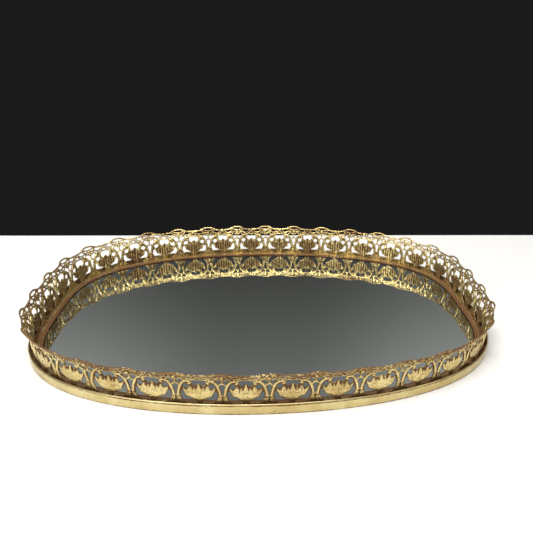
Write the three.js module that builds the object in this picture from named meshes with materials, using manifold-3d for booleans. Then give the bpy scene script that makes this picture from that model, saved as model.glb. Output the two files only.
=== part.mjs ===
// Oval vanity tray: a mirror held in a rolled brass band, with a pierced gallery standing round it.
// Millimetres, +Z up. The origin is the middle of the plane that the tray stands on, X is its length.
import * as THREE from 'three';
import { TessellateModifier } from 'three/addons/modifiers/TessellateModifier.js';
import { mergeVertices } from 'three/addons/utils/BufferGeometryUtils.js';
import Module from 'manifold-3d';

const wasm = await Module();
wasm.setup();

// Plan of the band's outer wall: |x / halfLength|^lengthPower + |y / halfWidth|^widthPower = 1.
// Every ring and sheet below is set off from it, by an offset that is positive outwards.
const halfLength = 210;
const halfWidth = 146.6;
const lengthPower = 2.06;
const widthPower = 3.14;

// Band: upright wall with a round bead rolled along its top
const wallThickness = 1.0;
const footBevel = 0.15;
const beadRadius = 0.7;
const beadHeight = 8.6;
const beadSteps = 5;

// Sheets held in the band, from below
const felt = { offset: -2.8, bottom: 1.0, thickness: 0.5 };
const board = { offset: -2.6, bottom: felt.bottom + felt.thickness, thickness: 1.1 };
const silvering = { offset: -3.0, bottom: board.bottom + board.thickness, thickness: 0.1 };
const glass = { offset: -2.4, bottom: silvering.bottom + silvering.thickness, thickness: 1.9 };
const glassTop = glass.bottom + glass.thickness;

// Bezel: ring over the edge of the glass, with a ledge for the gallery and a rounded rib inside it
const bezelOuter = -1.3;
const bezelInner = -10.6;
const ribOuter = -4.8;
const ledgeThickness = 0.5;
const ribThickness = 1.25;
const lipThickness = 0.3;
const ribSteps = 3;

// Gallery: upright pierced wall with a scalloped top that flares outwards
const repeats = 34;
const galleryThickness = 1.2;
const galleryFoot = glassTop + ledgeThickness;
const galleryOffset = -3.7;
const flareStart = 25;
const flareReach = 6.45;
const flarePower = 1.5;
const peakHeight = 38.7;
const valleyHeight = 36.9;
const seamGap = 0.3;
const quarters = [
  { name: 'gallery_back_right', first: 0, count: 9 },
  { name: 'gallery_back_left', first: 9, count: 8 },
  { name: 'gallery_front_left', first: 17, count: 9 },
  { name: 'gallery_front_right', first: 26, count: 8 },
];

// Retaining tabs: strips inside the wall, bent in under the felt
const tabCount = 12;
const tabWidth = 8;
const tabThickness = 0.4;
const tabUnderside = 0.3;
const tabTop = 4.3;
const tabOffset = -1.3;
const tabReach = 13;

const ringSteps = 3 * repeats;
const curveSteps = 3;
const longestEdge = 17; // longer edges of a flat repeat are halved, so that it can bend
const halvings = 6;
const edgeTolerance = 1e-3;

const metal = (color, roughness) =>
  new THREE.MeshStandardMaterial({ color, roughness, metalness: 1 });
const soft = (color) => new THREE.MeshStandardMaterial({ color, roughness: 0.95, metalness: 0 });
const bandBrass = metal(0xcdb072, 0.35);
const galleryBrass = metal(0xc9a866, 0.4);
const bezelBrass = metal(0x9b7d45, 0.45);
const tabBrass = metal(0xb3925a, 0.45);
const silverFilm = metal(0xb9bcba, 0.08);
const clearGlass = new THREE.MeshStandardMaterial({ color: 0xdfe5e2, roughness: 0.03, metalness: 0 });
const greyBoard = soft(0x8d7f6c);
const greenFelt = soft(0x2f4536);

// ---- the plan, and places on it ----

function planPoint(angle) {
  const across = Math.abs(Math.cos(angle)) / halfLength;
  const along = Math.abs(Math.sin(angle)) / halfWidth;
  let low = 0;
  let high = halfLength + halfWidth;
  for (let halving = 0; halving < 50; halving += 1) {
    const radius = (low + high) / 2;
    if ((radius * across) ** lengthPower + (radius * along) ** widthPower < 1) low = radius;
    else high = radius;
  }
  return new THREE.Vector2(low * Math.cos(angle), low * Math.sin(angle));
}

function planNormal({ x, y }) {
  const slopeX = (lengthPower / halfLength) * (Math.abs(x) / halfLength) ** (lengthPower - 1);
  const slopeY = (widthPower / halfWidth) * (Math.abs(y) / halfWidth) ** (widthPower - 1);
  return new THREE.Vector2(Math.sign(x) * slopeX, Math.sign(y) * slopeY).normalize();
}

const planSteps = 2880;
const planAngle = (step) => (step / planSteps) * 2 * Math.PI;
const planLengths = [0];
for (let step = 1; step <= planSteps; step += 1) {
  const chord = planPoint(planAngle(step)).distanceTo(planPoint(planAngle(step - 1)));
  planLengths.push(planLengths[step - 1] + chord);
}
const perimeter = planLengths[planSteps];
const pitch = perimeter / repeats;

// Distances run counter-clockwise from the +X end. They are rounded, so neighbours share their points.
const roundings = 1e4;
function placeOnPlan(distance, offset, height) {
  const rounded = Math.round(distance * roundings) / roundings;
  const along = ((rounded % perimeter) + perimeter) % perimeter;
  let low = 0;
  let high = planSteps;
  while (high - low > 1) {
    const middle = Math.floor((low + high) / 2);
    if (planLengths[middle] <= along) low = middle;
    else high = middle;
  }
  const part = (along - planLengths[low]) / (planLengths[high] - planLengths[low]);
  const point = planPoint(planAngle(low + part));
  const edge = point.clone().addScaledVector(planNormal(point), offset);
  return new THREE.Vector3(edge.x, edge.y, height);
}

// ---- helpers ----

function onlyPositions(geometry) {
  const plain = geometry.clone();
  plain.deleteAttribute('normal');
  plain.deleteAttribute('uv');
  return mergeVertices(plain);
}

function moveVertices(geometry, move) {
  const positions = geometry.getAttribute('position');
  for (let i = 0; i < positions.count; i += 1) {
    const moved = move(new THREE.Vector3().fromBufferAttribute(positions, i));
    positions.setXYZ(i, moved.x, moved.y, moved.z);
  }
  return onlyPositions(geometry);
}

function toSolid(geometry) {
  const plain = onlyPositions(geometry);
  const vertProperties = new Float32Array(plain.getAttribute('position').array);
  const triVerts = new Uint32Array(plain.index.array);
  return new wasm.Manifold(new wasm.Mesh({ numProp: 3, vertProperties, triVerts }));
}

function fromSolid(solid) {
  const { vertProperties, triVerts } = solid.getMesh();
  const geometry = new THREE.BufferGeometry();
  geometry.setAttribute('position', new THREE.BufferAttribute(vertProperties, 3));
  geometry.setIndex(new THREE.BufferAttribute(triVerts, 1));
  return geometry;
}

function named(name, geometry, finish) {
  geometry.computeVertexNormals();
  const mesh = new THREE.Mesh(geometry, finish);
  mesh.name = name;
  return mesh;
}

// A ring along the plan, whose section is [offset, height] points, counter-clockwise.
function ringOnPlan(section) {
  const points = [...section, section[0]].map(
    ([offset, height]) => new THREE.Vector2(halfLength + offset, height),
  );
  return moveVertices(new THREE.LatheGeometry(points, ringSteps), ({ x, y, z }) => {
    const turns = Math.atan2(x, z) / (2 * Math.PI);
    return placeOnPlan(turns * perimeter, Math.hypot(x, z) - halfLength, y);
  });
}

function sheetOnPlan({ offset, bottom, thickness }) {
  const shape = new THREE.Shape();
  for (let step = 0; step < ringSteps; step += 1) {
    const { x, y } = placeOnPlan((step / ringSteps) * perimeter, offset, 0);
    if (step === 0) shape.moveTo(x, y);
    else shape.lineTo(x, y);
  }
  const sheet = new THREE.ExtrudeGeometry(shape, { depth: thickness, bevelEnabled: false });
  return onlyPositions(sheet.translate(0, 0, bottom));
}

// ---- band and bezel ----

function baseBand() {
  const beadInset = wallThickness / 2;
  const openAngle = Math.acos(beadInset / beadRadius);
  const section = [
    [-wallThickness, 0],
    [-footBevel, 0],
    [0, footBevel],
  ];
  for (let step = 0; step <= beadSteps; step += 1) {
    const angle = -openAngle + (step / beadSteps) * (Math.PI + 2 * openAngle);
    section.push([beadRadius * Math.cos(angle) - beadInset, beadHeight + beadRadius * Math.sin(angle)]);
  }
  return named('base_band', ringOnPlan(section), bandBrass);
}

function mirrorBezel() {
  const section = [
    [bezelInner, glassTop],
    [bezelOuter, glassTop],
    [bezelOuter, galleryFoot],
    [ribOuter, galleryFoot],
  ];
  for (let step = 0; step <= ribSteps; step += 1) {
    const part = step / ribSteps;
    const rise = (ribThickness - lipThickness) * Math.cos((part * Math.PI) / 2);
    section.push([ribOuter + part * (bezelInner - ribOuter), glassTop + lipThickness + rise]);
  }
  return named('mirror_bezel', ringOnPlan(section), bezelBrass);
}

// ---- gallery ----

function wallOffset(height) {
  const rise = Math.max(0, (height - flareStart) / (peakHeight - flareStart));
  return galleryOffset + flareReach * rise ** flarePower;
}

// One repeat, drawn flat from one V slot to the next, with its basket of leaves in the middle.
const slot = { bottom: 15.9, shoulder: 16.8, neck: 1.0, mouth: 1.9, mouthHeight: 25.0, top: 26.3 };
const scallop = { width: 6.2, pull: 2.0 };
const roundHole = { x: 9.6, height: 22.8, radius: 2.1 };
const wing = [[4.4, 5.9], [9.7, 5.9], [13.3, 11.6], [13.4, 18.6], [11.9, 18.6], [11.2, 14.1], [1.8, 13.6]];
const halfMoon = [[5.8, 29.6], [4.8, 26.9], [2.0, 25.5]];

function polygonHole(points) {
  return new THREE.Path(points.map(([x, height]) => new THREE.Vector2(x, height)));
}

function repeatShape() {
  const half = pitch / 2;
  const shape = new THREE.Shape();
  shape.moveTo(-half, galleryFoot);
  shape.lineTo(half, galleryFoot);
  const slotEdge = [
    [0, slot.bottom],
    [slot.neck, slot.shoulder],
    [slot.mouth, slot.mouthHeight],
    [0, slot.top],
  ];
  for (const [inset, height] of slotEdge) shape.lineTo(half - inset, height);
  shape.lineTo(half, peakHeight);
  const scallopEnd = half - scallop.width;
  shape.quadraticCurveTo(scallopEnd + scallop.pull, peakHeight, scallopEnd, valleyHeight);
  shape.lineTo(-scallopEnd, valleyHeight);
  shape.quadraticCurveTo(-scallopEnd - scallop.pull, peakHeight, -half, peakHeight);
  for (const [inset, height] of slotEdge.toReversed()) shape.lineTo(inset - half, height);

  for (const side of [-1, 1]) {
    const disc = new THREE.Path();
    disc.absarc(side * roundHole.x, roundHole.height, roundHole.radius, 0, 2 * Math.PI, false);
    shape.holes.push(disc, polygonHole(wing.map(([x, height]) => [side * x, height])));
  }
  const otherHalf = halfMoon.toReversed().map(([x, height]) => [-x, height]);
  shape.holes.push(polygonHole([...halfMoon, ...otherHalf]));
  return shape;
}

// The wall that two repeats of a strip would share is left out, so the strip is one closed body.
function galleryQuarter({ name, first, count }) {
  const extrusion = new THREE.ExtrudeGeometry(repeatShape(), {
    depth: galleryThickness,
    bevelEnabled: false,
    curveSegments: curveSteps,
  });
  const corners = new TessellateModifier(longestEdge, halvings).modify(extrusion).getAttribute('position');
  const last = first + count - 1;
  const start = (first - 0.5) * pitch + seamGap / 2;
  const end = (last + 0.5) * pitch - seamGap / 2;
  const places = [];
  for (let index = first; index <= last; index += 1) {
    for (let corner = 0; corner < corners.count; corner += 3) {
      const triangle = [0, 1, 2].map((i) => new THREE.Vector3().fromBufferAttribute(corners, corner + i));
      const onEdge = (side) => triangle.every(({ x }) => Math.abs(x - (side * pitch) / 2) < edgeTolerance);
      if ((index > first && onEdge(-1)) || (index < last && onEdge(1))) continue;
      for (const { x, y, z } of triangle) {
        const distance = THREE.MathUtils.clamp(index * pitch + x, start, end);
        places.push(placeOnPlan(distance, wallOffset(y) + z - galleryThickness / 2, y));
      }
    }
  }
  return named(name, mergeVertices(new THREE.BufferGeometry().setFromPoints(places)), galleryBrass);
}

// ---- retaining tabs ----

function retainingTab(number) {
  const round = tabWidth / 2;
  const foot = new THREE.Shape();
  foot.moveTo(0, -round);
  foot.lineTo(0, round);
  foot.lineTo(round - tabReach, round);
  foot.absarc(round - tabReach, 0, round, Math.PI / 2, (3 * Math.PI) / 2, false);
  const strip = new THREE.ExtrudeGeometry(foot, {
    depth: tabThickness,
    bevelEnabled: false,
    curveSegments: curveSteps,
  });
  const legHeight = tabTop - tabUnderside;
  const leg = new THREE.BoxGeometry(tabThickness, tabWidth, legHeight);
  leg.translate(-tabThickness / 2, 0, legHeight / 2);
  const geometry = fromSolid(toSolid(strip).add(toSolid(leg)));

  const tab = named(`retaining_tab_${String(number + 1).padStart(2, '0')}`, geometry, tabBrass);
  const distance = ((number + 0.5) / tabCount) * perimeter;
  tab.position.copy(placeOnPlan(distance, tabOffset, tabUnderside));
  const inner = placeOnPlan(distance, tabOffset - tabReach, tabUnderside);
  tab.rotation.z = Math.atan2(tab.position.y - inner.y, tab.position.x - inner.x);
  return tab;
}

// ---- the tray ----

const tray = new THREE.Group();
tray.add(baseBand(), mirrorBezel());
for (const quarter of quarters) tray.add(galleryQuarter(quarter));
tray.add(
  named('mirror_glass', sheetOnPlan(glass), clearGlass),
  named('mirror_silvering', sheetOnPlan(silvering), silverFilm),
  named('base_board', sheetOnPlan(board), greyBoard),
  named('felt_cover', sheetOnPlan(felt), greenFelt),
);
for (let number = 0; number < tabCount; number += 1) tray.add(retainingTab(number));

export default tray;
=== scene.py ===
import math

import bpy
import numpy as np
from mathutils import Matrix, Vector


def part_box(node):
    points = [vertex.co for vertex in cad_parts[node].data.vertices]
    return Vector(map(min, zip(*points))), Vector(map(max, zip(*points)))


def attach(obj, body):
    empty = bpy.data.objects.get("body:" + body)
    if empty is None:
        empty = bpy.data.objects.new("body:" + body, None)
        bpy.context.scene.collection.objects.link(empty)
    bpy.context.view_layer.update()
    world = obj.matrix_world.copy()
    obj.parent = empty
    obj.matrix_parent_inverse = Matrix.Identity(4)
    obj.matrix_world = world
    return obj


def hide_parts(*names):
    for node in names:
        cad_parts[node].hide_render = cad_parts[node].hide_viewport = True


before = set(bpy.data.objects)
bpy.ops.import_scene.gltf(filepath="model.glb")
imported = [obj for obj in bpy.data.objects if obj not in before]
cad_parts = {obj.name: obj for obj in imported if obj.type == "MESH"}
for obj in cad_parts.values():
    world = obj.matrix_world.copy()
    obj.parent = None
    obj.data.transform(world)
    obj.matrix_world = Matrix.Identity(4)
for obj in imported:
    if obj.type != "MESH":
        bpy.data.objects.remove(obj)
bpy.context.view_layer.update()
mm = 0.001


# the plan is an oval with flattened sides, walked by length from the +X end; offsets are outwards

glassInset = 2.4
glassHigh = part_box("mirror_glass")[1] / mm
plan = dict(halfLength=glassHigh.x + glassInset, halfWidth=glassHigh.y + glassInset,
            lengthPower=2.06, widthPower=3.14, repeats=34)


def planPoints(angles):
    across = np.abs(np.cos(angles)) / plan["halfLength"]
    along = np.abs(np.sin(angles)) / plan["halfWidth"]
    low = np.zeros_like(angles)
    high = np.full_like(angles, plan["halfLength"] + plan["halfWidth"])
    for halving in range(45):
        radius = (low + high) / 2
        within = (radius * across) ** plan["lengthPower"] + (radius * along) ** plan["widthPower"] < 1
        low = np.where(within, radius, low)
        high = np.where(within, high, radius)
    return low * np.cos(angles), low * np.sin(angles)


planAngles = np.linspace(0, 2 * math.pi, 14401)
planX, planY = planPoints(planAngles)
planLengths = np.concatenate([[0], np.cumsum(np.hypot(np.diff(planX), np.diff(planY)))])
perimeter = planLengths[-1]
pitch = perimeter / plan["repeats"]


def placeOnPlan(length, offset, height):
    x, y = planPoints(np.interp(np.mod(length, perimeter), planLengths, planAngles))
    p, q = plan["lengthPower"], plan["widthPower"]
    normalX = p * np.abs(x) ** (p - 1) / plan["halfLength"] ** p * np.sign(x)
    normalY = q * np.abs(y) ** (q - 1) / plan["halfWidth"] ** q * np.sign(y)
    size = np.hypot(normalX, normalY)
    return np.stack([x + offset * normalX / size, y + offset * normalY / size, height], axis=1)


def makePiece(name, points, faces, node=None, marks=None, smooth=True):
    mesh = bpy.data.meshes.new(name)
    mesh.from_pydata((np.asarray(points) * mm).tolist(), [], faces)
    mesh.update()
    mesh.validate()
    if smooth:
        mesh.shade_smooth()
    for markName, values in (marks or {}).items():
        attribute = mesh.attributes.new(markName, "FLOAT", "POINT")
        attribute.data.foreach_set("value", np.asarray(values, dtype=np.float32))
    piece = bpy.data.objects.new(name, mesh)
    bpy.context.scene.collection.objects.link(piece)
    if node:
        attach(piece, "root")
        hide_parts(node)
    return piece


# the marks for tarnish and painted shade are weakened towards the back (+Y), so the back is painted lighter
# where more light falls; span is the width over which that changes
lighterBack = dict(share=0.35, span=120)


def ringPiece(name, section, steps, node, sway=0.0):
    # section is a closed list of (offset, height, mark for tarnish and painted shade), clockwise with
    # outwards to the right
    count = len(section)
    lengths = np.arange(steps) * perimeter / steps
    offsets, heights, hollows = (np.array(column, dtype=float) for column in zip(*section))
    grid = np.repeat(lengths, count)
    rng = np.random.default_rng(4)
    wobble = sum(rng.uniform(-1, 1) * np.sin(2 * math.pi * turn * lengths / perimeter + rng.uniform(0, 6.3))
                 for turn in range(2, 11)) / 3
    shift = np.repeat(wobble, count) * sway
    points = placeOnPlan(grid, np.tile(offsets, steps) + shift, np.tile(heights, steps))
    faces = []
    for step in range(steps):
        here, there = step * count, (step + 1) % steps * count
        for corner in range(count):
            after = (corner + 1) % count
            faces.append((here + corner, here + after, there + after, there + corner))
    # weakening the marks towards the back paints the back lighter, where more light falls
    lighterTowardsBack = lighterBack["share"] * np.clip(0.5 + points[:, 1] / lighterBack["span"], 0, 1)
    return makePiece(name, points, faces, node, {"hollow": np.tile(hollows, steps) * (1 - lighterTowardsBack)})


def arcPoints(centre, radius, start, end, steps, mark):
    return [(centre[0] + radius * math.cos(math.radians(start + (end - start) * step / steps)),
             centre[1] + radius * math.sin(math.radians(start + (end - start) * step / steps)), mark)
            for step in range(steps + 1)]


# the band round the edge, with its bead along the top

band = dict(thickness=1.0, footRound=0.22, beadRadius=0.7, beadHeight=8.6, beadOffset=-0.5,
            sway=0.05, steps=1020)
bead = (band["beadOffset"], band["beadHeight"]), band["beadRadius"]
# the marks paint shade as well as tarnish: a dark line along the foot for the contact shadow, a dark crease
# under the bead, and the inner side darkened where shade falls behind the band
outerMarks = [(0.6, 0.8), (1.3, 0.3), (3.0, 0.0), (5.0, 0.0), (6.6, 0.05), (7.4, 0.7), (7.9, 1.2)]
innerMarks = [(7.9, 1.0), (6.5, 1.0), (3.0, 1.0), (0.6, 0.8)]
footRound = band["footRound"]
bandSection = (
    arcPoints((-footRound, footRound), footRound, -90, 0, 4, 1.1)
    + [(0.0, height, mark) for height, mark in outerMarks]
    + arcPoints(*bead, -38, -5, 3, 1.15)[1:-1]
    + arcPoints(*bead, 0, 70, 6, 0.2)
    + arcPoints(*bead, 85, 150, 5, 0.75)
    + arcPoints(*bead, 165, 218, 4, 1.1)[:-1]
    + [(-band["thickness"], height, mark) for height, mark in innerMarks]
    + arcPoints((footRound - band["thickness"], footRound), footRound, 180, 270, 4, 0.5)
)
bandPiece = ringPiece("bandRing", bandSection, band["steps"], "base_band", band["sway"])

# the shelf behind the bead and the rounded lip that runs down onto the mirror

lip = dict(outer=-1.3, inner=-10.6, ribOuter=-4.8, under=4.6, shelf=5.1, ribRise=0.95, edge=0.3, ribSteps=12,
           darkUntil=0.35, brightUntil=0.55, steps=1020)
# the marks paint shade as well as tarnish: the shelf behind the bead and the outer part of the rib are
# darkened where shade falls, and the rib's inner part, down to the mirror, is darkened to paint the shadow
# and dark reflection where the lip meets the mirror
lipSection = [(lip["outer"], lip["under"], 1.0), (lip["outer"], lip["shelf"] - 0.1, 1.0),
              (lip["outer"] - 0.1, lip["shelf"], 1.0), (-2.6, lip["shelf"], 0.95), (-3.9, lip["shelf"], 0.9),
              (lip["ribOuter"] + 0.12, lip["shelf"] + 0.1, 0.85)]
for step in range(lip["ribSteps"] + 1):
    part = step / lip["ribSteps"]
    offset = lip["ribOuter"] + (lip["inner"] - lip["ribOuter"]) * part
    ribTop = lip["under"] + lip["edge"] + lip["ribRise"] * math.cos(part * math.pi / 2)
    mark = 0.9 if part < lip["darkUntil"] else 0.05 if part < lip["brightUntil"] else 1.5
    lipSection.append((offset, ribTop, mark))
lipSection += [(lip["inner"] - 0.08, lip["under"] + 0.2, 1.5), (lip["inner"], lip["under"], 1.5)]
lipSection = lipSection[::-1]
lipPiece = ringPiece("mirrorLip", lipSection, lip["steps"], "mirror_bezel")
print("band and lip made")


# the gallery: one pierced repeat, worked out as a field over its length and height, then bent round the plan

gallery = dict(foot=5.1, top=38.7, middle=-3.7, flareStart=25.0, flareReach=6.45, flarePower=1.5,
               columns=72, rows=70, overrun=0.25, seam=0.04, edge=0.27, setBack=0.25, relief=0.8,
               openingEdge=0.3, barWidth=1.2)
half = pitch / 2


def wallOffset(height):
    risen = np.clip((height - gallery["flareStart"]) / (gallery["top"] - gallery["flareStart"]), 0, 1.2)
    return gallery["middle"] + gallery["flareReach"] * risen ** gallery["flarePower"]


def smoothLine(points, steps=6):
    points = np.array(points, dtype=float)
    ends = np.vstack([2 * points[0] - points[1], points, 2 * points[-1] - points[-2]])
    line = [points[0]]
    for index in range(len(points) - 1):
        a, b, c, d = ends[index:index + 4]
        for step in range(1, steps + 1):
            t = step / steps
            line.append(0.5 * (2 * b + (c - a) * t + (2 * a - 5 * b + 4 * c - d) * t * t
                               + (3 * b - a - 3 * c + d) * t ** 3))
    return np.array(line)


def stroke(x, z, points, smooth=True):
    # how far inside a bar of changing radius, and how high its rounded back stands
    line = smoothLine(points) if smooth else np.array(points, dtype=float)
    inside = np.full_like(x, -99.0)
    raised = np.zeros_like(x)
    for (x0, z0, r0), (x1, z1, r1) in zip(line[:-1], line[1:]):
        dx, dz = x1 - x0, z1 - z0
        part = np.clip(((x - x0) * dx + (z - z0) * dz) / max(dx * dx + dz * dz, 1e-9), 0, 1)
        gap = np.hypot(x - x0 - part * dx, z - z0 - part * dz)
        radius = r0 + (r1 - r0) * part
        inside = np.maximum(inside, radius - gap)
        raised = np.maximum(raised, np.sqrt(np.clip(radius * radius - gap * gap, 0, None)))
    return inside, raised


def outline(x, z, corners):
    # how far inside a closed outline, negative outside it
    line = np.array(corners, dtype=float)
    gap = np.full_like(x, 99.0)
    within = np.zeros(x.shape, dtype=bool)
    for (x0, z0), (x1, z1) in zip(line, np.roll(line, -1, axis=0)):
        dx, dz = x1 - x0, z1 - z0
        part = np.clip(((x - x0) * dx + (z - z0) * dz) / max(dx * dx + dz * dz, 1e-9), 0, 1)
        gap = np.minimum(gap, np.hypot(x - x0 - part * dx, z - z0 - part * dz))
        if abs(dz) > 1e-9:
            within ^= ((z0 > z) != (z1 > z)) & (x < x0 + (z - z0) / dz * dx)
    return np.where(within, gap, -gap)


# one side of a repeat: a is measured from a scallop's peak, over the V-shaped opening, and the middle of the
# basket is at a = half; bars are lists of (a, height, radius), outlines are lists of (a, height)
rimLine = [(0, 37.85, 0.66), (2.0, 37.8, 0.66), (3.5, 37.65, 0.66), (4.8, 37.35, 0.66), (6.2, 36.8, 0.66),
           (7.8, 35.95, 0.66), (9.5, 35.45, 0.66), (11.4, 35.2, 0.66), (14.0, 35.15, 0.66),
           (half, 35.0, 0.68)]
rimBlob = [(7.3, 36.4, 0.8), (7.7, 36.2, 0.8)]
bars = dict(
    underPeak=[(0, 34.8, 0.5), (3.0, 34.9, 0.5), (6.4, 36.0, 0.55)],
    boss=[(0, 31.6, 1.2), (0, 33.2, 1.35)],
    centrePost=[(0, 25.8, 0.5), (0, 28.4, 0.55), (0, 31.2, 0.9)],
    crossing=[(7.8, 35.6, 0.6), (6.4, 33.9, 0.56), (4.6, 32.3, 0.56), (2.8, 30.8, 0.56), (0.0, 29.7, 0.56)],
    sweeping=[(1.0, 32.9, 0.58), (4.0, 32.9, 0.55), (6.5, 32.6, 0.56), (9.0, 31.9, 0.56), (11.0, 31.6, 0.56),
              (12.8, 32.2, 0.56), (13.7, 33.4, 0.55), (14.2, 34.9, 0.58)],
    longTie=[(4.4, 31.9, 0.5), (5.6, 30.6, 0.55), (7.0, 29.3, 0.6)],
    shortTie=[(8.9, 29.4, 0.6), (9.6, 30.8, 0.55), (10.4, 31.8, 0.55)],
    gable=[(half, 34.1, 0.8), (15.6, 32.5, 0.56), (13.7, 30.4, 0.56), (12.0, 28.9, 0.56)],
    sill=[(10.6, 29.5, 0.6), (13.0, 30.0, 0.55), (half, 30.1, 0.55)],
    crossTie=[(3.2, 23.9, 0.65), (1.6, 25.0, 0.6), (0.0, 26.0, 0.7)],
    arch=[(1.6, 14.6, 0.85), (2.1, 18.4, 0.9), (3.05, 22.0, 0.95), (4.4, 25.0, 0.92), (6.0, 27.2, 0.85),
          (8.3, 28.6, 0.8), (10.2, 28.3, 0.75), (11.3, 27.0, 0.7), (11.2, 25.7, 0.65), (10.3, 25.2, 0.6)],
    curlEnd=[(10.1, 25.9, 0.8), (10.2, 26.0, 0.8)],
    leafTip=[(8.0, 16.0, 0.8), (7.1, 18.6, 0.85), (5.7, 20.8, 0.35)],
)
lowerSheet = [(0, 4), (0, 15.6), (1.3, 15.6), (1.95, 18.4), (3.0, 22.0), (4.4, 25.0), (6.0, 27.2),
              (8.3, 28.6), (10.2, 28.3), (11.2, 27.2), (12.0, 25.2), (13.4, 23.4), (14.6, 22.9), (15.7, 23.8),
              (16.6, 24.8), (half, 25.1), (half + 3, 25.1), (half + 3, 4)]
wingHole = [(14.6, 5.9), (12.0, 5.9), (9.6, 6.2), (8.3, 7.3), (6.9, 7.5), (6.1, 9.0), (4.9, 9.6), (4.5, 11.4),
            (3.7, 12.6), (3.5, 14.4), (3.6, 16.6), (4.1, 18.4), (4.9, 18.9), (5.9, 18.0), (6.7, 16.4),
            (7.3, 14.7), (8.3, 13.4), (9.5, 13.3), (10.5, 12.1), (11.7, 11.9), (12.7, 10.8), (13.9, 10.6),
            (14.9, 9.6), (15.1, 7.4)]
roundHole = [(7.5, 22.8, 2.2), (7.8, 22.9, 2.2)]
basketEdge = [(7.2, 14.6), (8.3, 13.2), (9.5, 13.1), (10.5, 11.9), (11.7, 11.7), (12.7, 10.6), (13.9, 10.4),
              (15.2, 9.5), (half, 9.3), (half + 4, 9.3), (half + 4, 20.9), (half, 20.9), (14.0, 20.9),
              (8.8, 20.4), (7.6, 19.4), (7.1, 17.0)]
leaves = [dict(foot=(half, 18.5), tip=(half, 23.9), width=2.6),
          dict(foot=(10.8, 18.4), tip=(10.6, 23.8), width=2.5),
          dict(foot=(14.2, 18.5), tip=(14.0, 22.4), width=1.5),
          dict(foot=(8.2, 18.0), tip=(7.6, 21.4), width=1.4)]
pedestalEdge = [(0, 5.9), (9.6, 6.1), (6.6, 7.6), (4.8, 9.9), (3.7, 12.6), (3.1, 14.6), (1.6, 15.4),
                (0, 15.5)]
bud = [(half, 21.5, 1.2), (half, 23.8, 0.9), (half, 24.9, 0.4)]
ledgeLine = [(0, 15.1, 0.55), (2.2, 14.9, 0.5), (3.2, 14.4, 0.3)]

# how deep each panel is pressed, and how its pattern repeats
press = dict(dimpleDepth=0.4, dimpleLength=1.93, dimpleHeight=2.05, dimpleMargin=0.6,
             veinDepth=0.5, veinWidth=0.45, leafDepth=1.5, leafTaper=1.7,
             pedestalDepth=0.85, fanRibs=26, fanCentre=17.5,
             postHalf=2.2, postSpread=2.0, postFoot=7.6, postTop=10.2, postDepth=0.75,
             railTop=6.35, railFoot=4.5, railDepth=0.7, ledgeRise=1.6, archRise=1.35, rimRise=0.85,
             backPanel=0.5, backBar=0.75)
raisedBars = ("arch", "curlEnd")


def swell(inside, height, reach):
    return height * (1 - np.exp(-np.clip(inside, 0, None) / reach))


def galleryField(length, height):
    a = np.abs(np.mod(length, pitch) - half)
    b = half - a
    z = height
    # the thin sheet and its openings
    solid = np.minimum(outline(a, z, lowerSheet), z - 4)
    for opening in (outline(a, z, wingHole), stroke(a, z, roundHole, False)[0]):
        solid = np.minimum(solid, -opening)
    # pressed panels: basket with its leaves, pedestal, post and foot rail
    basket = outline(a, z, basketEdge)
    dimples = (press["dimpleDepth"] * np.cos(2 * math.pi * b / press["dimpleLength"])
               * np.cos(2 * math.pi * (z - 13.4) / press["dimpleHeight"]))
    bulge = 0.75 + 0.55 * np.sin(math.pi * np.clip((z - 9.8) / 11.4, 0, 1)) - 0.25 * (b / 10.5) ** 2
    panel = swell(basket, 1, 0.5) * bulge + np.where(basket > press["dimpleMargin"], dimples, 0)
    panel = np.where(basket > 0, panel, 0)
    for leaf in leaves:
        (footX, footZ), (tipX, tipZ) = leaf["foot"], leaf["tip"]
        up = np.clip((z - footZ) / (tipZ - footZ), -0.5, 1)
        middle = footX + (tipX - footX) * up
        halfWidth = leaf["width"] * (1 - np.clip(up, 0, 1) ** press["leafTaper"])
        leafInside = np.minimum(halfWidth - np.abs(a - middle), tipZ - z)
        vein = press["veinDepth"] * np.exp(-((a - middle) / press["veinWidth"]) ** 2)
        pressed = swell(leafInside, press["leafDepth"], 0.6) - np.where(leafInside > 0.2, vein, 0)
        panel = np.maximum(panel, np.where(z > footZ, pressed, 0))
    pedestal = outline(a, z, pedestalEdge)
    fan = np.arctan2(a, np.clip(press["fanCentre"] - z, 0.5, None))
    ribs = 0.75 + 0.25 * np.cos(fan * press["fanRibs"])
    panel = np.maximum(panel, swell(pedestal, press["pedestalDepth"], 0.5) * ribs)
    spread = press["postSpread"] * np.clip((press["postFoot"] - z) / 1.6, 0, 1) ** 1.6
    post = np.minimum(press["postHalf"] + spread - b, press["postTop"] - z)
    panel = np.maximum(panel, swell(post, press["postDepth"], 0.45))
    rail = np.minimum(z - press["railFoot"], press["railTop"] - z)
    panel = np.maximum(panel, swell(rail, press["railDepth"], 0.4))
    panel = np.maximum(panel, stroke(a, z, bud)[1])
    # the round bars
    wire = press["ledgeRise"] * stroke(a, z, ledgeLine)[1]
    for name, line in bars.items():
        inside, back = stroke(a, z, [(x, y, radius * gallery["barWidth"]) for x, y, radius in line])
        solid = np.maximum(solid, inside)
        wire = np.maximum(wire, back * (press["archRise"] if name in raisedBars else 1.0))
    for line in (rimLine, rimBlob):
        inside, back = stroke(a, z, line)
        solid = np.maximum(solid, inside)
        wire = np.maximum(wire, press["rimRise"] * back)
    return solid, panel, wire


def blur(values, rounds):
    for turn in range(rounds):
        values = (np.roll(values, 1, 0) + 2 * values + np.roll(values, -1, 0)) / 4
        padded = np.pad(values, ((0, 0), (1, 1)), mode="edge")
        values = (padded[:, :-2] + 2 * values + padded[:, 2:]) / 4
    return values


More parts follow.
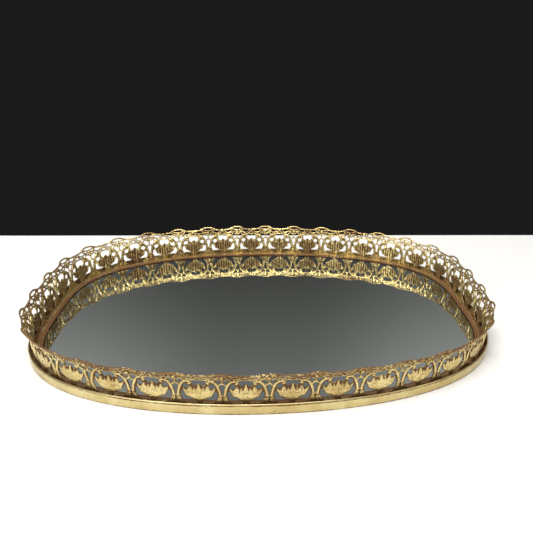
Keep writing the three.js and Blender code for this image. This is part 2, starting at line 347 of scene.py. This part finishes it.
columnWidth = pitch / gallery["columns"]
rowHeights = np.linspace(gallery["foot"], gallery["top"] + gallery["overrun"], gallery["rows"] + 1)
columnGrid, rowGrid = np.meshgrid(np.arange(gallery["columns"]) * columnWidth, rowHeights, indexing="ij")
solidGrid, panelGrid, wireGrid = galleryField(columnGrid, rowGrid)
frontGrid = np.maximum(panelGrid, wireGrid)
# panels are pressed out from behind, so the back follows them, while bars stand up on both sides
awayFromBars = np.clip(1 - wireGrid / 0.4, 0, 1)
backGrid = press["backPanel"] * panelGrid * awayFromBars - press["backBar"] * wireGrid

# tarnish with painted shade sits in hollows and near the foot, where shade falls, and the recessed sheet is
# painted darker; tarnish also sits among the bars under the rim; inside it also streaks the panels
tarnishAndShade = dict(front=0.45, frontHollow=1.5, frontLow=0.4, foot=0.75, footBelow=10.8, rim=0.34, rimAbove=29.0,
               back=0.3, backHollow=0.9, backRim=0.25, backPanel=0.45, streakDepth=0.5, streakWidth=2.9)
nearFoot = np.clip((tarnishAndShade["footBelow"] - rowGrid) / 3, 0, 1)
nearRim = np.clip((rowGrid - tarnishAndShade["rimAbove"]) / 4, 0, 1)
hollowGrid = np.clip(tarnishAndShade["front"] + tarnishAndShade["frontHollow"] * (blur(frontGrid, 6) - frontGrid)
                     + tarnishAndShade["frontLow"] * (0.4 - frontGrid)
                     + tarnishAndShade["foot"] * nearFoot + tarnishAndShade["rim"] * nearRim, 0, 1)
fromMiddle = half - np.abs(np.mod(columnGrid, pitch) - half)
streaks = tarnishAndShade["streakDepth"] * np.cos(2 * math.pi * fromMiddle / tarnishAndShade["streakWidth"])
innerHollowGrid = np.clip(tarnishAndShade["back"] + tarnishAndShade["backRim"] * nearRim
                          + tarnishAndShade["backHollow"] * (backGrid - blur(backGrid, 8))
                          + (tarnishAndShade["backPanel"] + streaks) * np.clip(backGrid, 0, None), 0, 1)
reliefGrids = np.stack([blur(frontGrid, 1), blur(backGrid, 1), hollowGrid, innerHollowGrid])


def galleryPiece(name, first, count, node):
    columns, rows = gallery["columns"], gallery["rows"]
    total = count * columns
    solid = np.vstack([np.tile(solidGrid, (count, 1)), solidGrid[:1]])
    relief = np.concatenate([np.tile(reliefGrids, (1, count, 1)), reliefGrids[:, :1]], axis=1)
    index, spots, faces = {}, [], []

    def cornerPoint(i, j):
        if (i, j) not in index:
            index[i, j] = len(spots)
            spots.append((i, rowHeights[j], *relief[:, i, j]))
        return index[i, j]

    def edgePoint(i0, j0, i1, j1):
        key = (i0, j0, i1, j1) if (i0, j0) < (i1, j1) else (i1, j1, i0, j0)
        if key not in index:
            i0, j0, i1, j1 = key
            part = solid[i0, j0] / (solid[i0, j0] - solid[i1, j1])
            part = min(max(part, 0.1), 0.9)
            index[key] = len(spots)
            between = relief[:, i0, j0] + (relief[:, i1, j1] - relief[:, i0, j0]) * part
            between[:2] *= gallery["openingEdge"]  # the edge of an opening is thin
            height = rowHeights[j0] + (rowHeights[j1] - rowHeights[j0]) * part
            spots.append((i0 + (i1 - i0) * part, height, *between))
        return index[key]

    for i in range(total):
        for j in range(rows):
            corners = ((i, j), (i + 1, j), (i + 1, j + 1), (i, j + 1))
            filled = [solid[corner] > 0 for corner in corners]
            if all(filled):
                faces.append(tuple(cornerPoint(*corner) for corner in corners))
            elif any(filled):
                for triangle in ((0, 1, 2), (0, 2, 3)):
                    face = []
                    for place, corner in enumerate(triangle):
                        after = triangle[(place + 1) % 3]
                        if filled[corner]:
                            face.append(cornerPoint(*corners[corner]))
                        if filled[corner] != filled[after]:
                            face.append(edgePoint(*corners[corner], *corners[after]))
                    if len(face) > 2:
                        faces.append(tuple(face))
    spots = np.array(spots)
    size = len(spots)
    start = first * pitch + gallery["seam"] / 2
    end = (first + count) * pitch - gallery["seam"] / 2
    lengths = np.clip(first * pitch + spots[:, 0] * columnWidth, start, end)
    heights = spots[:, 1]
    slope = (wallOffset(heights + 0.05) - wallOffset(heights - 0.05)) / 0.1
    outwards, upwards = 1 / np.hypot(1, slope), -slope / np.hypot(1, slope)
    offsets = wallOffset(heights) - gallery["setBack"]
    front = gallery["edge"] + spots[:, 2] * gallery["relief"]
    back = -gallery["edge"] + spots[:, 3] * gallery["relief"]
    points = np.vstack([placeOnPlan(lengths, offsets + outwards * depth, heights + upwards * depth)
                        for depth in (front, back)])
    used = {}
    for face in faces:
        for here, after in zip(face, face[1:] + face[:1]):
            used[here, after] = used.get((here, after), 0) + 1
    walls = [(after, here, here + size, after + size) for here, after in used if (after, here) not in used]
    faces = faces + [tuple(corner + size for corner in reversed(face)) for face in faces] + walls
    marks = dict(hollow=np.concatenate([spots[:, 4], spots[:, 5]]),
                 inner=np.concatenate([np.zeros(size), np.ones(size)]))
    return makePiece(name, points, faces, node, marks)


galleryPieces = [galleryPiece(*quarter) for quarter in (
    ("galleryBackRight", 0, 9, "gallery_back_right"), ("galleryBackLeft", 9, 8, "gallery_back_left"),
    ("galleryFrontLeft", 17, 9, "gallery_front_left"), ("galleryFrontRight", 26, 8, "gallery_front_right"))]
print("gallery made", [len(piece.data.polygons) for piece in galleryPieces])


# the mirror, the board and the felt under it

def discPiece(name, disc, node, steps=510):
    # rings of points from the rim inwards, below and then above; nap roughens the underside
    low, high = disc["under"], disc["top"]
    rings, nap = disc.get("rings", 6), disc.get("nap", 0)
    lengths = np.arange(steps) * perimeter / steps
    edge = placeOnPlan(lengths, np.full(steps, -disc["inset"]), np.zeros(steps))[:, :2]
    rng = np.random.default_rng(9)
    layers = []
    for height in (low, high):
        for share in np.sqrt(np.linspace(1, 0.02, rings)):
            ring = np.column_stack([edge * share, np.full(steps, float(height))])
            if nap and height == low:
                ring[:, 2] += rng.random(steps) * nap
            layers.append(ring)
    points = np.vstack(layers + [np.array([(0, 0, low), (0, 0, high)], dtype=float)])
    faces = []
    top = rings * steps
    for step in range(steps):
        after = (step + 1) % steps
        for ring in range(rings - 1):
            a, b = ring * steps, (ring + 1) * steps
            faces.append((a + step, b + step, b + after, a + after))
            faces.append((top + a + after, top + b + after, top + b + step, top + a + step))
        faces.append((step, after, top + after, top + step))
        last = (rings - 1) * steps
        faces.append((last + step, 2 * top, last + after))
        faces.append((top + last + after, 2 * top + 1, top + last + step))
    return makePiece(name, points, faces, node, smooth=False)


# inset from the plan, underside and top; the silver film keeps a hair clear of the glass and the board
board = dict(inset=2.6, under=1.5, top=2.6)
silver = dict(inset=3.0, under=2.61, top=2.69)
glass = dict(inset=glassInset, under=2.71, top=4.59)
felt = dict(inset=2.8, under=1.0, top=1.5, rings=26, nap=0.06)
boardPiece = discPiece("backBoard", board, "base_board")
silverPiece = discPiece("silverLayer", silver, "mirror_silvering")
glassPiece = discPiece("mirrorPane", glass, "mirror_glass")
feltPiece = discPiece("feltCover", felt, "felt_cover")
print("board and felt made")


# effects shared by the metals, as node groups

def newGroup(name, inputs, outputs):
    group = bpy.data.node_groups.new(name, "ShaderNodeTree")
    for label, kind, value in inputs:
        socket = group.interface.new_socket(label, in_out="INPUT", socket_type=kind)
        socket.default_value = value
    for label, kind in outputs:
        group.interface.new_socket(label, in_out="OUTPUT", socket_type=kind)
    return group, group.nodes.new("NodeGroupInput"), group.nodes.new("NodeGroupOutput")


def feed(tree, socket, value):
    # a value is either another node's output or a constant
    if isinstance(value, bpy.types.NodeSocket):
        tree.links.new(value, socket)
    else:
        socket.default_value = value


def addNode(tree, kind, links=None, **settings):
    node = tree.nodes.new(kind)
    for name, value in settings.items():
        setattr(node, name, value)
    for name, value in (links or {}).items():
        feed(tree, node.inputs[name], value)
    return node


def mixColours(tree, share, first, second):
    node = addNode(tree, "ShaderNodeMix", data_type="RGBA")
    for index, value in ((0, share), (6, first), (7, second)):
        feed(tree, node.inputs[index], value)
    return node.outputs[2]


def maths(tree, operation, first, second=0.0, clamp=False):
    node = addNode(tree, "ShaderNodeMath", operation=operation, use_clamp=clamp)
    for socket, value in zip(node.inputs, (first, second)):
        feed(tree, socket, value)
    return node.outputs[0]


def stepRange(tree, value, low, high, toLow=0.0, toHigh=1.0, smooth=True):
    node = tree.nodes.new("ShaderNodeMapRange")
    node.interpolation_type = "SMOOTHSTEP" if smooth else "LINEAR"
    tree.links.new(value, node.inputs["Value"])
    for name, number in (("From Min", low), ("From Max", high), ("To Min", toLow), ("To Max", toHigh)):
        node.inputs[name].default_value = number
    return node.outputs["Result"]


# grime with painted shade: collects in hollows and creases, where shade falls too, broken up by noise
grimeShadeGroup, grimeShadeIn, grimeShadeOut = newGroup("GrimeAndShade", [
    ("Hollow", "NodeSocketFloat", 0.0), ("Amount", "NodeSocketFloat", 0.5),
    ("Scale", "NodeSocketFloat", 300.0),
], [("Mask", "NodeSocketFloat"), ("Patches", "NodeSocketFloat")])
place = addNode(grimeShadeGroup, "ShaderNodeTexCoord").outputs["Object"]
fineNoise = addNode(grimeShadeGroup, "ShaderNodeTexNoise", {
    "Vector": place, "Scale": grimeShadeIn.outputs["Scale"], "Detail": 5.0, "Roughness": 0.65}).outputs[0]
wideNoise = addNode(grimeShadeGroup, "ShaderNodeTexNoise", {
    "Vector": place, "Scale": 28.0, "Detail": 3.0, "Roughness": 0.5}).outputs[0]
broken = maths(grimeShadeGroup, "ADD", maths(grimeShadeGroup, "MULTIPLY", fineNoise, 2.0), wideNoise)
reach = maths(grimeShadeGroup, "ADD", maths(grimeShadeGroup, "ADD", grimeShadeIn.outputs["Hollow"], broken),
              maths(grimeShadeGroup, "SUBTRACT", grimeShadeIn.outputs["Amount"], 1.5))
grimeShadeGroup.links.new(stepRange(grimeShadeGroup, reach, 0.5, 0.85), grimeShadeOut.inputs["Mask"])
grimeShadeGroup.links.new(stepRange(grimeShadeGroup, wideNoise, 0.38, 0.66), grimeShadeOut.inputs["Patches"])

# handling: cloudy patches, small dark pits and the fine unevenness of old plated metal
handlingGroup, handlingIn, handlingOut = newGroup("Handling", [
    ("Cloud Scale", "NodeSocketFloat", 60.0), ("Pit Scale", "NodeSocketFloat", 260.0),
    ("Pit Share", "NodeSocketFloat", 0.3), ("Grain Scale", "NodeSocketFloat", 900.0),
], [("Clouds", "NodeSocketFloat"), ("Pits", "NodeSocketFloat"), ("Height", "NodeSocketFloat")])
place = addNode(handlingGroup, "ShaderNodeTexCoord").outputs["Object"]
clouds = addNode(handlingGroup, "ShaderNodeTexNoise", {
    "Vector": place, "Scale": handlingIn.outputs["Cloud Scale"], "Detail": 4.0, "Roughness": 0.6}).outputs[0]
cells = addNode(handlingGroup, "ShaderNodeTexVoronoi", {
    "Vector": place, "Scale": handlingIn.outputs["Pit Scale"]})
cellValue = addNode(handlingGroup, "ShaderNodeSeparateColor", {"Color": cells.outputs["Color"]}).outputs[0]
chosen = maths(handlingGroup, "LESS_THAN", cellValue, handlingIn.outputs["Pit Share"])
pitDepth = stepRange(handlingGroup, cells.outputs["Distance"], 0.28, 0.1)
pits = maths(handlingGroup, "MULTIPLY", pitDepth, chosen)
handlingGroup.links.new(stepRange(handlingGroup, clouds, 0.3, 0.7), handlingOut.inputs["Clouds"])
handlingGroup.links.new(pits, handlingOut.inputs["Pits"])
grain = addNode(handlingGroup, "ShaderNodeTexNoise", {
    "Vector": place, "Scale": handlingIn.outputs["Grain Scale"], "Detail": 2.0, "Roughness": 0.5}).outputs[0]
uneven = maths(handlingGroup, "SUBTRACT", maths(handlingGroup, "ADD", grain, clouds),
               maths(handlingGroup, "MULTIPLY", pits, 0.8))
handlingGroup.links.new(uneven, handlingOut.inputs["Height"])


def newMaterial(name, constants=None):
    material = bpy.data.materials.new(name)
    material.use_nodes = True
    tree = material.node_tree
    shader = tree.nodes["Principled BSDF"]
    for socket, value in (constants or {}).items():
        shader.inputs[socket].default_value = value
    return material, tree, shader


def useGroup(tree, group, inputs):
    return addNode(tree, "ShaderNodeGroup", inputs, node_tree=group).outputs


def brassMaterial(name, look):
    material, tree, shader = newMaterial(name)
    hollow = addNode(tree, "ShaderNodeAttribute", attribute_name="hollow").outputs["Fac"]
    inner = addNode(tree, "ShaderNodeAttribute", attribute_name="inner").outputs["Fac"]
    handled = useGroup(tree, handlingGroup, {
        "Cloud Scale": look["cloudScale"], "Pit Scale": look["pitScale"],
        "Pit Share": look["pitShare"], "Grain Scale": look["grainScale"]})
    grimeAndShade = useGroup(tree, grimeShadeGroup, {
        "Hollow": hollow, "Amount": look["grimeAndShadeAmount"], "Scale": look["grimeAndShadeScale"]})
    metal = mixColours(tree, handled["Clouds"], look["colour"], look["cloudColour"])
    metal = mixColours(tree, maths(tree, "MULTIPLY", inner, look["innerShare"]), metal, look["innerColour"])
    metal = mixColours(tree, maths(tree, "MULTIPLY", grimeAndShade["Patches"], look["patchShare"]), metal,
                       look["patchColour"])
    # the grime colour paints tarnish together with painted shade: dark brown in hollows, creases, along the
    # foot and in the gutter behind the bead
    grimedAndShaded = maths(tree, "MULTIPLY", grimeAndShade["Mask"], look["grimeAndShadeShare"])
    pitted = maths(tree, "MULTIPLY", handled["Pits"], look["pitDarkness"])
    metal = mixColours(tree, grimedAndShaded, metal, look["grimeAndShadeColour"])
    metal = mixColours(tree, pitted, metal, look["pitColour"])
    tree.links.new(metal, shader.inputs["Base Color"])
    dirtAndShade = maths(tree, "MAXIMUM", grimedAndShaded, pitted)
    tree.links.new(stepRange(tree, dirtAndShade, 0, 1, look["metallic"], look["dirtAndShadeMetallic"], False),
                   shader.inputs["Metallic"])
    cloudy = maths(tree, "MULTIPLY", handled["Clouds"], look["roughnessSpread"])
    rough = stepRange(tree, dirtAndShade, 0, 1, look["roughness"], look["dirtAndShadeRoughness"], False)
    tree.links.new(maths(tree, "ADD", rough, cloudy, True), shader.inputs["Roughness"])
    bump = addNode(tree, "ShaderNodeBump", {"Strength": look["bump"], "Distance": 0.0005,
                                            "Height": handled["Height"]})
    tree.links.new(bump.outputs["Normal"], shader.inputs["Normal"])
    return material


# the grime colour in these looks is dark brown for tarnish and for painted shade in hollows, creases and the
# gutter
bandLook = dict(colour=(0.69, 0.59, 0.31, 1), cloudColour=(0.55, 0.45, 0.2, 1), cloudScale=70.0,
                innerColour=(0.5, 0.3, 0.12, 1), innerShare=0.0,
                patchColour=(0.5, 0.35, 0.13, 1), patchShare=0.4,
                grimeAndShadeColour=(0.12, 0.038, 0.009, 1), grimeAndShadeShare=0.95, grimeAndShadeAmount=-0.1, grimeAndShadeScale=420.0,
                pitColour=(0.16, 0.08, 0.03, 1), pitDarkness=0.75, pitScale=300.0, pitShare=0.06,
                metallic=0.96, dirtAndShadeMetallic=0.25, roughness=0.27, dirtAndShadeRoughness=0.7, roughnessSpread=0.1,
                grainScale=220.0, bump=0.1)
bandBrass = brassMaterial("bandBrass", bandLook)

lipLook = dict(bandLook, colour=(0.76, 0.62, 0.32, 1), cloudColour=(0.6, 0.46, 0.2, 1), patchShare=0.3,
               patchColour=(0.42, 0.27, 0.1, 1), grimeAndShadeAmount=0.0, roughness=0.25, bump=0.15)
lipBrass = brassMaterial("lipBrass", lipLook)

galleryLook = dict(bandLook, colour=(0.79, 0.67, 0.32, 1), cloudColour=(0.58, 0.43, 0.17, 1),
                   innerColour=(0.8, 0.63, 0.27, 1), innerShare=0.5, patchShare=0.25,
                   patchColour=(0.48, 0.3, 0.11, 1), grimeAndShadeColour=(0.12, 0.043, 0.011, 1), grimeAndShadeAmount=0.2,
                   grimeAndShadeScale=480.0, pitShare=0.5, pitScale=430.0, pitDarkness=0.75, roughness=0.2,
                   roughnessSpread=0.15, grainScale=800.0, bump=0.8)
galleryBrass = brassMaterial("galleryBrass", galleryLook)
tabBrass = brassMaterial("tabBrass", dict(bandLook, grimeAndShadeAmount=0.15, roughness=0.4))

silverMaterial = newMaterial("mirrorSilver", {
    "Base Color": (0.81, 0.84, 0.81, 1), "Metallic": 1.0, "Roughness": 0.02})[0]
glassMaterial = newMaterial("mirrorGlass", {
    "Base Color": (0.97, 0.98, 0.975, 1), "Transmission Weight": 1.0, "Roughness": 0.0, "IOR": 1.5})[0]

boardMaterial, boardTree, boardShader = newMaterial("greyBoard", {"Roughness": 0.9})
boardNoise = addNode(boardTree, "ShaderNodeTexNoise", {"Scale": 500.0, "Detail": 6.0}).outputs[0]
boardTree.links.new(mixColours(boardTree, boardNoise, (0.2, 0.18, 0.15, 1), (0.33, 0.3, 0.26, 1)),
                    boardShader.inputs["Base Color"])

feltMaterial, feltTree, feltShader = newMaterial("feltCloth", {"Roughness": 0.95, "Sheen Weight": 0.3})
feltPlace = addNode(feltTree, "ShaderNodeTexCoord").outputs["Object"]
feltFine = addNode(feltTree, "ShaderNodeTexNoise", {
    "Vector": feltPlace, "Scale": 900.0, "Detail": 6.0, "Roughness": 0.7}).outputs[0]
feltWide = addNode(feltTree, "ShaderNodeTexNoise", {
    "Vector": feltPlace, "Scale": 22.0, "Detail": 3.0}).outputs[0]
feltShade = maths(feltTree, "ADD", maths(feltTree, "MULTIPLY", feltFine, 0.7),
                  maths(feltTree, "MULTIPLY", feltWide, 0.3))
feltTree.links.new(mixColours(feltTree, feltShade, (0.03, 0.05, 0.035, 1), (0.075, 0.11, 0.08, 1)),
                   feltShader.inputs["Base Color"])
feltBump = addNode(feltTree, "ShaderNodeBump", {"Strength": 0.6, "Distance": 0.0003, "Height": feltFine})
feltTree.links.new(feltBump.outputs["Normal"], feltShader.inputs["Normal"])


def dress(piece, material):
    piece.data.materials.clear()
    piece.data.materials.append(material)


dress(bandPiece, bandBrass)
dress(lipPiece, lipBrass)
for piece in galleryPieces:
    dress(piece, galleryBrass)
dress(glassPiece, glassMaterial)
dress(silverPiece, silverMaterial)
dress(boardPiece, boardMaterial)
dress(feltPiece, feltMaterial)
for name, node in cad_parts.items():
    if name.startswith("retaining_tab"):
        dress(node, tabBrass)
print("materials made")


# the room: a pale table top, a dark far wall that lightens upwards, and large soft lights

def flatPiece(name, corners, material):
    mesh = bpy.data.meshes.new(name)
    mesh.from_pydata(corners, [], [(0, 1, 2, 3)])
    mesh.materials.append(material)
    piece = bpy.data.objects.new(name, mesh)
    bpy.context.scene.collection.objects.link(piece)


room = dict(tableBack=0.213, tableFront=-2.2, tableSide=2.2,
            wallBack=2.6, wallLow=-1.4, wallHigh=3.2, wallSide=4.5)
tableMaterial = newMaterial("tableTop", {"Base Color": (0.86, 0.86, 0.85, 1), "Roughness": 0.6})[0]
flatPiece("tableTop", [(side * room["tableSide"], depth, 0) for side, depth in (
    (-1, room["tableFront"]), (1, room["tableFront"]), (1, room["tableBack"]), (-1, room["tableBack"]))],
          tableMaterial)

# the wall is nearly black up to darkTop and glows above lightFrom, more so higher up and to the sides
glow = dict(darkTop=0.42, lightFrom=0.9, riseLow=0.8, riseHigh=2.8, faint=0.045, strong=0.22,
            sideNear=0.2, sideFar=1.5, sideGain=2.0)
wallMaterial = bpy.data.materials.new("farWall")
wallMaterial.use_nodes = True
wallTree = wallMaterial.node_tree
wallTree.nodes.clear()
wallPlace = addNode(wallTree, "ShaderNodeSeparateXYZ",
                    {"Vector": addNode(wallTree, "ShaderNodeTexCoord").outputs["Object"]})
wallSides = stepRange(wallTree, maths(wallTree, "ABSOLUTE", wallPlace.outputs["X"]),
                      glow["sideNear"], glow["sideFar"], 1.0, glow["sideGain"])
wallRise = maths(wallTree, "MULTIPLY", stepRange(wallTree, wallPlace.outputs["Z"], glow["riseLow"],
                                                 glow["riseHigh"], glow["faint"], glow["strong"]), wallSides)
wallUpper = stepRange(wallTree, wallPlace.outputs["Z"], glow["darkTop"], glow["lightFrom"])
wallShade = mixColours(wallTree, wallUpper, (0.011, 0.011, 0.0115, 1), (1.0, 1.01, 0.98, 1))
# the strength goes from 1 on the dark lower part to wallRise above
wallStrength = maths(wallTree, "ADD", maths(wallTree, "MULTIPLY", wallUpper,
                                            maths(wallTree, "SUBTRACT", wallRise, 1.0)), 1.0)
wallLight = addNode(wallTree, "ShaderNodeEmission", {"Color": wallShade, "Strength": wallStrength})
wallTree.links.new(wallLight.outputs[0], addNode(wallTree, "ShaderNodeOutputMaterial").inputs["Surface"])
flatPiece("farWall", [(side * room["wallSide"], room["wallBack"], height) for side, height in (
    (-1, room["wallLow"]), (1, room["wallLow"]), (1, room["wallHigh"]), (-1, room["wallHigh"]))],
          wallMaterial)

world = bpy.data.worlds.new("studio")
bpy.context.scene.world = world
world.use_nodes = True
world.node_tree.nodes["Background"].inputs["Color"].default_value = (0.62, 0.63, 0.64, 1)
world.node_tree.nodes["Background"].inputs["Strength"].default_value = 0.2


def softLight(name, spot, target, size, power, colour=(1, 0.98, 0.95)):
    light = bpy.data.lights.new(name, "AREA")
    light.shape, light.size, light.size_y = "RECTANGLE", size[0], size[1]
    light.energy, light.color = power, colour
    lamp = bpy.data.objects.new(name, light)
    bpy.context.scene.collection.objects.link(lamp)
    lamp.location = spot
    lamp.rotation_euler = (Vector(target) - Vector(spot)).to_track_quat("-Z", "Y").to_euler()


softLight("overhead", (-0.2, -0.3, 1.6), (0, 0, 0), (1.2, 0.9), 36)
softLight("frontLeft", (-1.1, -1.5, 0.75), (0, 0, 0.02), (0.7, 0.5), 9)
softLight("frontRight", (1.3, -1.2, 0.6), (0, 0, 0.02), (0.5, 0.5), 5)

# the camera, a little to the left of the middle and looking down over the front of the tray
view = dict(spot=(-0.0055, -0.4525, 0.2667), lens=35.08, shift=-0.0868, down=25.15, turn=6.27, roll=2.27)
cameraData = bpy.data.cameras.new("camera")
cameraData.lens = view["lens"]
cameraData.shift_x = view["shift"]
camera = bpy.data.objects.new("camera", cameraData)
bpy.context.scene.collection.objects.link(camera)
down, turn, roll = (math.radians(view[name]) for name in ("down", "turn", "roll"))
forward = Vector((math.sin(turn) * math.cos(down), math.cos(turn) * math.cos(down), -math.sin(down)))
right = Vector((math.cos(turn), -math.sin(turn), 0))
up = right.cross(forward)
rolledRight = math.cos(roll) * right + math.sin(roll) * up
rolledUp = math.cos(roll) * up - math.sin(roll) * right
turned = Matrix((rolledRight, rolledUp, -forward)).transposed().to_4x4()
camera.matrix_world = Matrix.Translation(view["spot"]) @ turned
bpy.context.scene.camera = camera
bpy.context.scene.view_settings.view_transform = "Standard"
